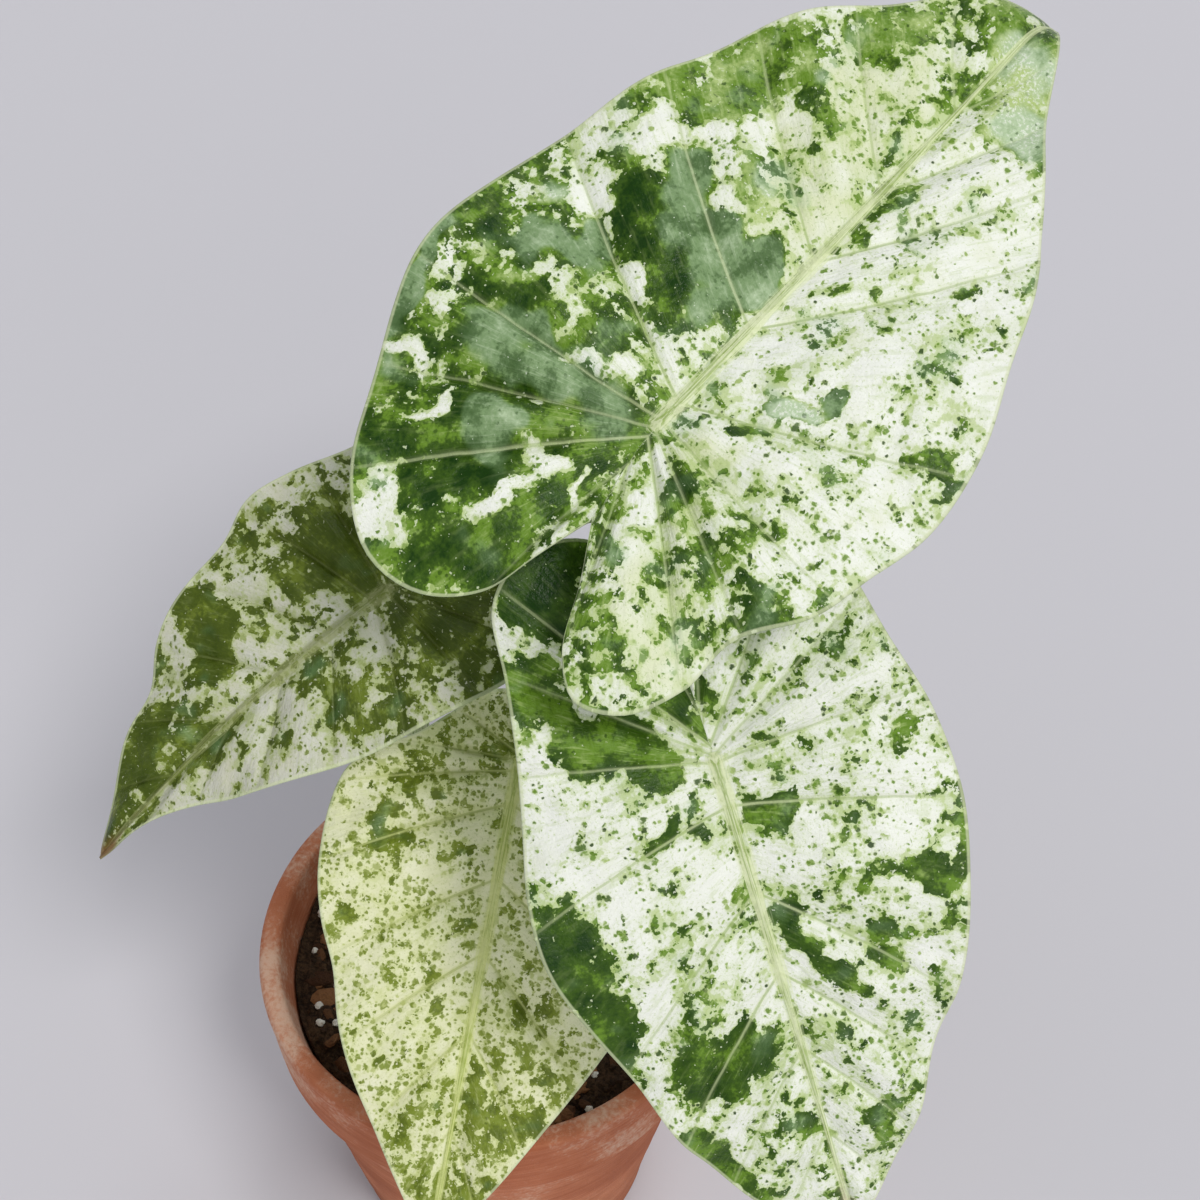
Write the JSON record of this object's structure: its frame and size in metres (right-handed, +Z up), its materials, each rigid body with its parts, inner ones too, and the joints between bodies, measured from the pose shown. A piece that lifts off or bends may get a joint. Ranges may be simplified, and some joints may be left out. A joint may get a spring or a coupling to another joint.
{
  "type": "potted alocasia odora",
  "caption": "Young variegated elephant-ear plant in a plain clay pot: arrow-shaped white and green leaf blades on arching stalks, on one short stem in soil.",
  "frame": {"origin": "middle of the pot's underside, on the surface that the pot stands on", "axes": "+Z up along the pot's axis; -Y is the side that the picture looks from"},
  "size_m": [0.1928, 0.1752, 0.3203],
  "materials": {
    "clay": "unglazed fired clay, matte",
    "soil": "loose dark potting mix of bark, peat and perlite",
    "stem": "smooth fleshy stem with papery old leaf bases",
    "stalk": "smooth fleshy pale green, satin",
    "blade_green": "satin leaf, green and white variegation",
    "blade_olive": "satin leaf, olive and greyish white variegation",
    "blade_cream": "satin leaf, cream with green flecks",
    "blade_white": "satin leaf, white with green flecks and patches"
  },
  "bodies": {
    "root": {"pot": "clay", "soil": "soil", "stem": "stem", "stalk_top": "stalk", "blade_top": "blade_green", "stalk_left": "stalk", "blade_left": "blade_olive", "stalk_low": "stalk", "blade_low": "blade_cream", "stalk_front": "stalk", "blade_front": "blade_white"}
  },
  "joints": []
}
